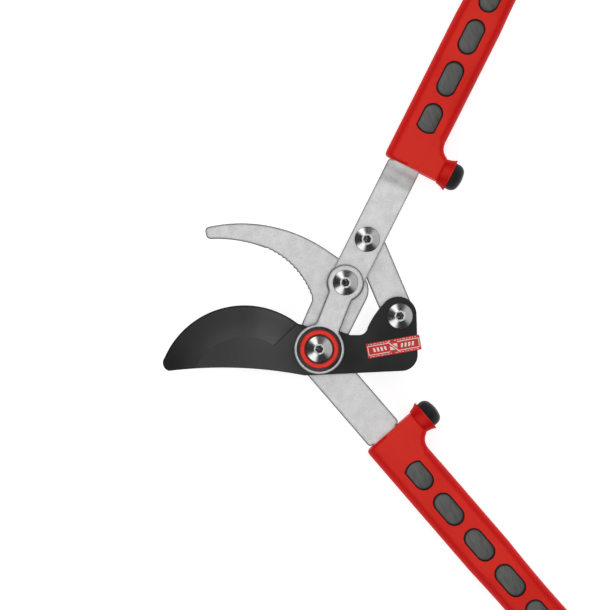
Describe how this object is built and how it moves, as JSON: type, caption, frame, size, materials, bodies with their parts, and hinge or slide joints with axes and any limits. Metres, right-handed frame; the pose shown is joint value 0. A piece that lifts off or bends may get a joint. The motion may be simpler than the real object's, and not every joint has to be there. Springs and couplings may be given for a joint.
{
  "type": "pruning shears",
  "caption": "Two-hand bypass pruning shears with a black cutting blade, a hooked counter blade, a lever link between blade and upper handle, and red grips with grey inlays.",
  "frame": {"origin": "on the main pivot's axis, at the rear face of its nut and bolt end", "axes": "+Z along the main pivot towards the bolt heads, +Y towards the hook and the upper handle across the open jaws, +X from the jaws towards the grips"},
  "size_m": [0.286, 0.5311, 0.0276],
  "materials": {
    "plate_steel": "satin, fine tumbled grain",
    "blade_coating": "satin black non-stick coating",
    "bolt_steel": "turned and polished",
    "nut_steel": "zinc plated",
    "cap_black": "gloss black",
    "ring_red": "glossy, with a deep edge",
    "bush_bronze": "bare bearing bronze",
    "slip_washer": "smooth bearing plastic",
    "grip_red": "satin moulded",
    "grip_grey": "soft moulded inlay",
    "bumper_rubber": "matte black",
    "label_film": "printed film"
  },
  "bodies": {
    "hook_handle": {"hook_plate": "plate_steel", "side_strap": "plate_steel", "pivot_bolt": "bolt_steel", "pivot_nut": "nut_steel", "pivot_nut_washer": "nut_steel", "pivot_cap": "cap_black", "pivot_ring": "ring_red", "pivot_slip_rear": "slip_washer", "pivot_slip_front": "slip_washer", "handle_bolt": "bolt_steel", "handle_nut": "nut_steel", "handle_washer": "nut_steel", "handle_slip_rear": "slip_washer", "handle_slip_front": "slip_washer", "lower_grip_shell": "grip_red", "lower_grip_core": "grip_grey", "lower_bumper": "bumper_rubber"},
    "upper_handle": {"upper_bar": "plate_steel", "handle_bush": "bush_bronze", "link_top_bolt": "bolt_steel", "upper_grip_shell": "grip_red", "upper_grip_core": "grip_grey", "upper_bumper": "bumper_rubber"},
    "blade": {"cutting_blade": "blade_coating", "coating_label": "label_film", "pivot_bush": "bush_bronze", "link_bottom_bolt": "bolt_steel", "link_bottom_washer": "nut_steel", "link_bottom_nut": "nut_steel", "link_bottom_slip": "slip_washer"},
    "link": {"link_bar": "plate_steel", "link_top_stud": "bolt_steel", "link_top_washer": "nut_steel", "link_top_nut": "nut_steel", "link_top_slip": "slip_washer"}
  },
  "joints": [
    {"name": "handle_pivot", "type": "hinge", "parent": "hook_handle", "child": "upper_handle", "pos_m": [0.0162, 0.04112, 0], "axis": [0, 0, 1], "range_deg": [-94.6, 0]},
    {"name": "blade_pivot", "type": "hinge", "parent": "hook_handle", "child": "blade", "pos_m": [0, 0, 0], "axis": [0, 0, 1], "range_deg": [-51, 0]},
    {"name": "link_pivot", "type": "hinge", "parent": "blade", "child": "link", "pos_m": [0.04996, 0.02049, 0], "axis": [0, 0, 1], "range_deg": [0, 34]}
  ],
  "couplings": [
    {"joint": "blade_pivot", "follows": "handle_pivot", "ratio": 0.5384},
    {"joint": "link_pivot", "follows": "handle_pivot", "ratio": -0.3589}
  ]
}
